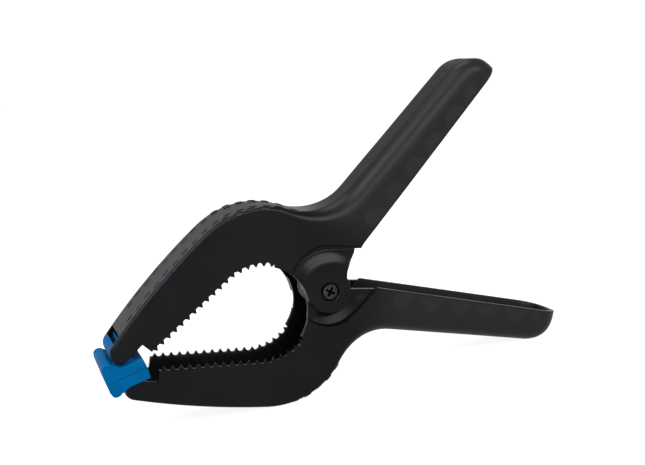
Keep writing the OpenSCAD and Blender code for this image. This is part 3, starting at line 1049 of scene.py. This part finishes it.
def metal(name, dark, light, rough_low, rough_high, stretch, grain_scale=900, recess_shade_y=None):
    """Steel with a drawn or turned grain, and a darker film in patches.

    Past the y given as the last argument, a screw's recess is painted black: painted shade in the recess.
    """
    n = Nodes(name)
    cloud = n.noise(260, 3)
    grain = n.noise(grain_scale, 3, 0.6, stretch)
    color = n.mix(n.ramp(cloud, 0.3, 0.7), (*dark, 1), (*light, 1))
    # the screw's recess painted black: painted shade
    if recess_shade_y is not None:
        split = n.add("ShaderNodeSeparateXYZ", i0=n.add("ShaderNodeTexCoord").outputs["Object"])
        recess_shade = n.ramp(split.outputs["Y"], recess_shade_y, recess_shade_y + 0.0002)
        color = n.mix(recess_shade, color, (0.0008, 0.0008, 0.0008, 1))
    return n.finish(
        Base_Color=color, Metallic=1.0, Roughness=n.ramp(grain, 0.3, 0.7, rough_low, rough_high),
        Normal=n.bump(grain, 0.25, 0.00004),
    )


black = arm_plastic()
for arm_object in (build_upper_arm(), build_lower_arm()):
    arm_object.data.materials.append(black)

blue = pad_plastic()
seam_up = PLACE.to_3x3() @ Vector((0, 0, 0.06))
for pad, arm, seam, lip, flip in (  # seam: v of the gripping face, lip: height of the front lip
    ("upper_pad", UPPER, -0.58, 6.9, False),
    ("lower_pad", LOWER, 0.42, 5.2, True),
):
    swivel = tip_centre(arm)
    web = pad_saddle(swivel, swivel[1] - seam, lip, flip)
    nudge = seam_up if flip else -seam_up
    soft = soft_pad(pad, f"{pad}_body", pad, web, nudge)
    soft.data.materials.append(blue)

build_spring().data.materials.append(
    metal("spring_steel", (0.04, 0.039, 0.038), (0.08, 0.078, 0.075), 0.28, 0.46, (1, 1, 1), 2400)
)
turned = (1, 0.1, 1)
screw_steel = metal(
    "screw_steel", (0.022, 0.019, 0.017), (0.05, 0.046, 0.042), 0.3, 0.48, turned, recess_shade_y=-0.0121
)
nut_steel = metal("nut_steel", (0.2, 0.2, 0.205), (0.3, 0.3, 0.3), 0.25, 0.4, turned)
sleeve_steel = metal("sleeve_steel", (0.4, 0.4, 0.41), (0.55, 0.55, 0.55), 0.25, 0.4, turned)
for node, width, mat in (
    ("pivot_screw", 0.00012, screw_steel),
    ("pivot_nut", 0.00012, nut_steel),
    ("pivot_sleeve", 0.00015, sleeve_steel),
):
    metal_part = bevel_node(node, width)
    metal_part.data.materials.clear()
    metal_part.data.materials.append(mat)

# ---------------------------------------------------------------- stage, light and camera

FADE_HEIGHT, FADE_LIGHT = (0.09, 0.3), (1.05, 0.42)  # the world's light, low down and overhead
LIGHT_TARGET, LIGHT_DISTANCE = (0, 0, 0.055), 1.0


def build_stage():
    bm = bmesh.new()
    bmesh.ops.create_grid(bm, x_segments=1, y_segments=1, size=3)
    mesh = bpy.data.meshes.new("floor")
    bm.to_mesh(mesh)
    bm.free()
    floor = bpy.data.objects.new("floor", mesh)
    bpy.context.scene.collection.objects.link(floor)
    n = Nodes("floor")
    n.finish(
        Base_Color=(0.15, 0.15, 0.15, 1), Roughness=0.9,
        Emission_Color=(1, 1, 1, 1), Emission_Strength=0.9,
    )
    floor.data.materials.append(n.mat)


def build_world():
    """White all round, dimmer overhead."""
    world = bpy.data.worlds.new("studio")
    world.use_nodes = True
    tree = world.node_tree
    at = tree.nodes.new("ShaderNodeTexCoord")
    split = tree.nodes.new("ShaderNodeSeparateXYZ")
    fade = tree.nodes.new("ShaderNodeMapRange")
    fade.interpolation_type = "SMOOTHSTEP"
    fade.inputs[1].default_value, fade.inputs[2].default_value = FADE_HEIGHT
    fade.inputs[3].default_value, fade.inputs[4].default_value = FADE_LIGHT
    tree.links.new(at.outputs["Generated"], split.inputs[0])
    tree.links.new(split.outputs["Z"], fade.inputs[0])
    tree.links.new(fade.outputs[0], tree.nodes["Background"].inputs[1])
    tree.nodes["Background"].inputs[0].default_value = (1, 1, 1, 1)
    bpy.context.scene.world = world


def area_light(name, direction, size, power, size_y=None):
    """A soft box in a direction from the clamp's middle."""
    light = bpy.data.lights.new(name, "AREA")
    light.energy = power
    light.size = size
    if size_y:
        light.shape = "RECTANGLE"
        light.size_y = size_y
    obj = bpy.data.objects.new(name, light)
    bpy.context.scene.collection.objects.link(obj)
    away = Vector(direction).normalized()
    obj.location = Vector(LIGHT_TARGET) + away * LIGHT_DISTANCE
    obj.rotation_euler = (-away).to_track_quat("-Z", "Y").to_euler()


bpy.context.scene.view_settings.view_transform = "Standard"
build_stage()
build_world()
area_light("key", (0.28, -0.83, 0.55), 1.1, 15, 0.3)
area_light("top", (0, 0.25, 1), 0.6, 7)
area_light("side", (-0.585, -0.34, 0.73), 0.6, 14)

CAMERA_AZIMUTH, CAMERA_ELEVATION, CAMERA_ROLL = -16.516, 11.053, -8.813
CAMERA_TARGET, CAMERA_DISTANCE, CAMERA_LENS = (0.0005, 0.0, 0.0563), 0.40027, 61.9


def build_camera():
    data = bpy.data.cameras.new("camera")
    data.lens = CAMERA_LENS
    data.sensor_width = 36
    camera = bpy.data.objects.new("camera", data)
    bpy.context.scene.collection.objects.link(camera)
    a, e = math.radians(CAMERA_AZIMUTH), math.radians(CAMERA_ELEVATION)
    away = Vector((math.sin(a) * math.cos(e), -math.cos(a) * math.cos(e), math.sin(e)))
    camera.location = Vector(CAMERA_TARGET) + away * CAMERA_DISTANCE
    roll = Matrix.Rotation(math.radians(CAMERA_ROLL), 3, "Z")
    turn = (-away).to_track_quat("-Z", "Y").to_matrix() @ roll
    camera.rotation_euler = turn.to_euler()
    bpy.context.scene.camera = camera


build_camera()
